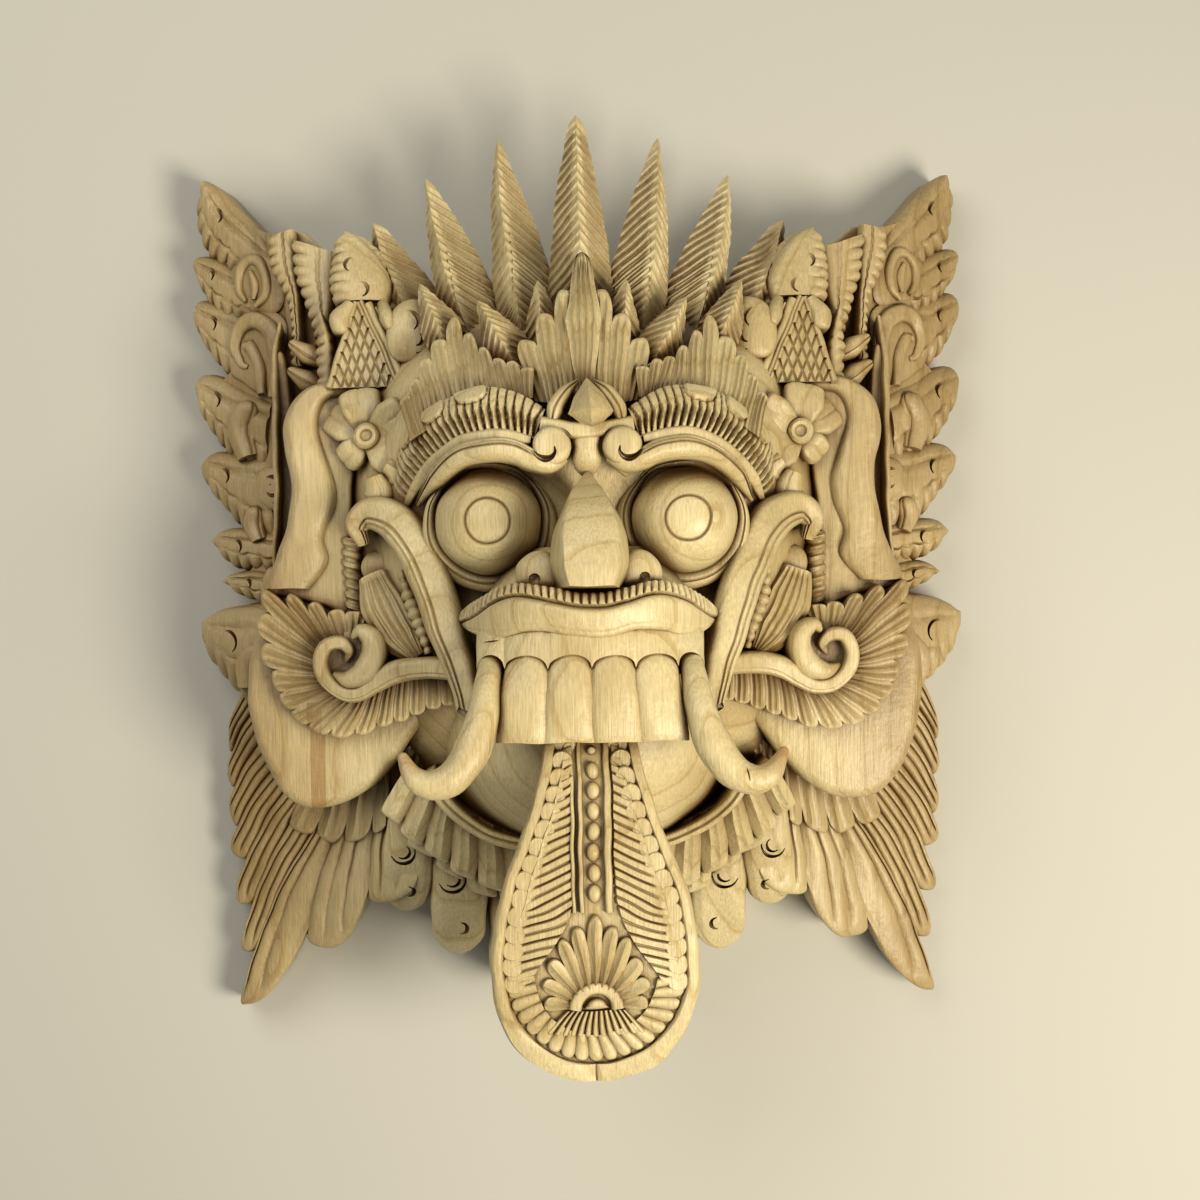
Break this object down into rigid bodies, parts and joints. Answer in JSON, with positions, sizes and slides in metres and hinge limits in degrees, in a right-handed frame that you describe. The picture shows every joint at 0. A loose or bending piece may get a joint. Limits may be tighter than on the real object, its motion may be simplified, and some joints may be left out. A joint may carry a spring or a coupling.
{
  "type": "carved wooden mask",
  "caption": "Hollow-backed carved wooden demon-queen mask with a crown of feather spikes, bulging eyes, curved tusks, long hanging tongue and leafy wings; lies flat on its back.",
  "frame": {"origin": "Centre of the mask's outline on the plane of its flat back, which it lies on.", "axes": "+X to the viewer's right across the face, +Y up the face towards the crown, +Z out of the face, away from the back."},
  "size_m": [0.364, 0.42, 0.1907],
  "materials": {
    "carved_wood": "bare pale wood with a soft satin rub, knife-carved, darker in the cuts"
  },
  "bodies": {
    "root": {"mask": "carved_wood"}
  },
  "joints": []
}
